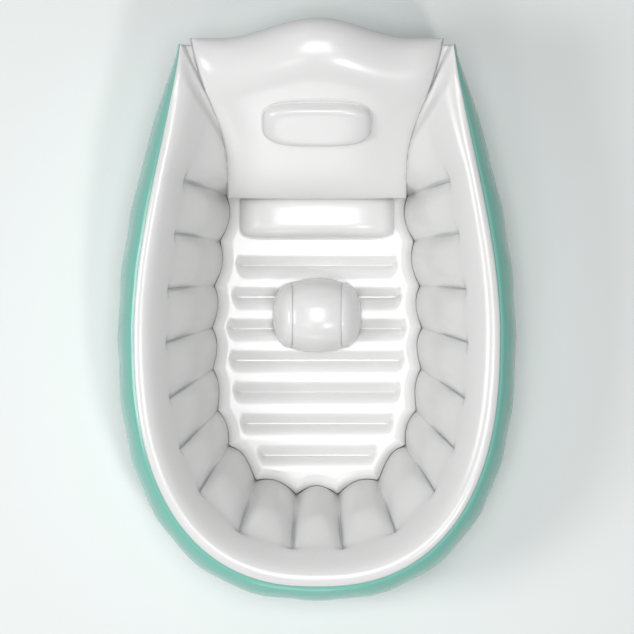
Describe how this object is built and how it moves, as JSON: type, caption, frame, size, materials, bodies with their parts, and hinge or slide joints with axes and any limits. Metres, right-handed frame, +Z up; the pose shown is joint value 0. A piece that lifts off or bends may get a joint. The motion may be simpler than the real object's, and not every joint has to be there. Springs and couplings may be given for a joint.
{
  "type": "inflatable baby bathtub",
  "caption": "Inflatable baby bathtub: oval air-chamber wall, ribbed air floor, leaning backrest with headrest, seat pillow, saddle horn, air valves and a drain plug.",
  "frame": {"origin": "middle of the bounding box on the surface that the bath stands on", "axes": "+Z up, +Y towards the head end with the backrest, +X to the right seen from above with the head end away"},
  "size_m": [0.6686, 0.9596, 0.2994],
  "materials": {
    "white_vinyl": "satin white welded vinyl sheet",
    "mint_vinyl": "satin mint green welded vinyl sheet",
    "clear_vinyl": "plain vinyl strap, hidden in the air chambers",
    "moulded_vinyl": "soft moulded translucent white vinyl"
  },
  "bodies": {
    "root": {"backrest_back_sheet": "white_vinyl", "backrest_front_sheet": "white_vinyl", "base_sheet": "mint_vinyl", "drain_sleeve": "moulded_vinyl", "floor_strap_1": "clear_vinyl", "floor_strap_2": "clear_vinyl", "floor_strap_3": "clear_vinyl", "floor_strap_4": "clear_vinyl", "floor_strap_5": "clear_vinyl", "floor_strap_6": "clear_vinyl", "floor_strap_7": "clear_vinyl", "floor_top_sheet": "white_vinyl", "floor_valve_cup": "moulded_vinyl", "headrest_pillow": "white_vinyl", "horn_band": "white_vinyl", "horn_gusset_left": "white_vinyl", "horn_gusset_right": "white_vinyl", "seat_pillow": "white_vinyl", "wall_inner_sheet": "white_vinyl", "wall_outer_sheet": "mint_vinyl", "wall_strap_01": "clear_vinyl", "wall_strap_02": "clear_vinyl", "wall_strap_03": "clear_vinyl", "wall_strap_04": "clear_vinyl", "wall_strap_05": "clear_vinyl", "wall_strap_06": "clear_vinyl", "wall_strap_07": "clear_vinyl", "wall_strap_08": "clear_vinyl", "wall_strap_09": "clear_vinyl", "wall_strap_10": "clear_vinyl", "wall_strap_11": "clear_vinyl", "wall_strap_12": "clear_vinyl", "wall_strap_13": "clear_vinyl", "wall_strap_14": "clear_vinyl", "wall_strap_15": "clear_vinyl", "wall_strap_16": "clear_vinyl", "wall_strap_17": "clear_vinyl", "wall_strap_18": "clear_vinyl", "wall_valve_cup": "moulded_vinyl"},
    "drain_plug": {"drain_plug": "moulded_vinyl"},
    "floor_valve_cap": {"floor_valve_cap": "moulded_vinyl"},
    "floor_valve_flap": {"floor_valve_flap": "moulded_vinyl"},
    "floor_valve_stem": {"floor_valve_stem": "moulded_vinyl"},
    "wall_valve_cap": {"wall_valve_cap": "moulded_vinyl"},
    "wall_valve_flap": {"wall_valve_flap": "moulded_vinyl"},
    "wall_valve_stem": {"wall_valve_stem": "moulded_vinyl"}
  },
  "joints": [
    {"name": "wall_valve_push", "type": "slide", "parent": "root", "child": "wall_valve_stem", "axis": [0, 1, 0], "range_m": [0, 0.01]},
    {"name": "wall_valve_cap_hinge", "type": "hinge", "parent": "wall_valve_stem", "child": "wall_valve_cap", "pos_m": [0.11, 0.44887, 0.134], "axis": [1, 0, 0], "range_deg": [0, 105]},
    {"name": "wall_valve_flap_hinge", "type": "hinge", "parent": "wall_valve_stem", "child": "wall_valve_flap", "pos_m": [0.11, 0.43012, 0.1314], "axis": [-1, 0, 0], "range_deg": [0, 60]},
    {"name": "floor_valve_push", "type": "slide", "parent": "root", "child": "floor_valve_stem", "axis": [0, 0, -1], "range_m": [0, 0.01]},
    {"name": "floor_valve_cap_hinge", "type": "hinge", "parent": "floor_valve_stem", "child": "floor_valve_cap", "pos_m": [0.071, -0.21433, 0.0015], "axis": [0, 1, 0], "range_deg": [0, 105]},
    {"name": "floor_valve_flap_hinge", "type": "hinge", "parent": "floor_valve_stem", "child": "floor_valve_flap", "pos_m": [0.0736, -0.21433, 0.02025], "axis": [0, -1, 0], "range_deg": [0, 60]},
    {"name": "drain_plug_hinge", "type": "hinge", "parent": "root", "child": "drain_plug", "pos_m": [0, 0.45922, 0.04], "axis": [1, 0, 0], "range_deg": [0, 120]}
  ]
}
